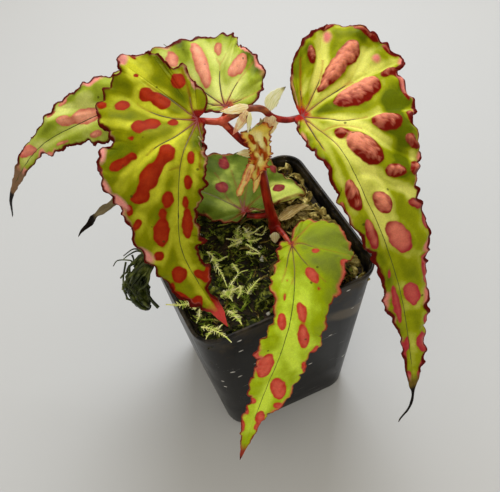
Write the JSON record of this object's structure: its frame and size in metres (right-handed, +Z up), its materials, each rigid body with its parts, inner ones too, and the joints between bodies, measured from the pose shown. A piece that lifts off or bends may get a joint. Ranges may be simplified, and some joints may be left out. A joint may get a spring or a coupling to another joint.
{
  "type": "potted begonia",
  "caption": "Small begonia with long pointed leaves, lime green with deep red blotches and toothed red edges, standing in moss and bark in a square black nursery pot.",
  "frame": {"origin": "middle of the pot's underside", "axes": "+Z up, +X along the pot's front wall, +Y towards the pot's back wall"},
  "size_m": [0.1525, 0.1395, 0.158],
  "materials": {
    "pot_plastic": "smooth, slightly glossy, scuffed",
    "medium": "damp, dark and fibrous",
    "stem": "smooth, fleshy and slightly glossy",
    "leaf_blade": "smooth, slightly glossy, with red blotches",
    "young_blade": "soft and crumpled, with orange spots",
    "stipule": "dry and papery",
    "dry_litter": "dry and matt",
    "moss": "damp and feathery"
  },
  "bodies": {
    "root": {"pot": "pot_plastic", "growing_medium": "medium", "stem": "stem", "leaf_right": "leaf_blade", "leaf_left": "leaf_blade", "leaf_front": "leaf_blade", "leaf_back": "leaf_blade", "leaf_low_back": "leaf_blade", "young_leaf": "young_blade", "stipule_1": "stipule", "stipule_2": "stipule", "stipule_3": "stipule", "stipule_4": "stipule", "stipule_5": "stipule", "stipule_6": "stipule", "stipule_7": "stipule", "litter_leaf_1": "dry_litter", "litter_leaf_2": "dry_litter", "litter_leaf_3": "dry_litter", "moss_overhang": "moss"}
  },
  "joints": []
}
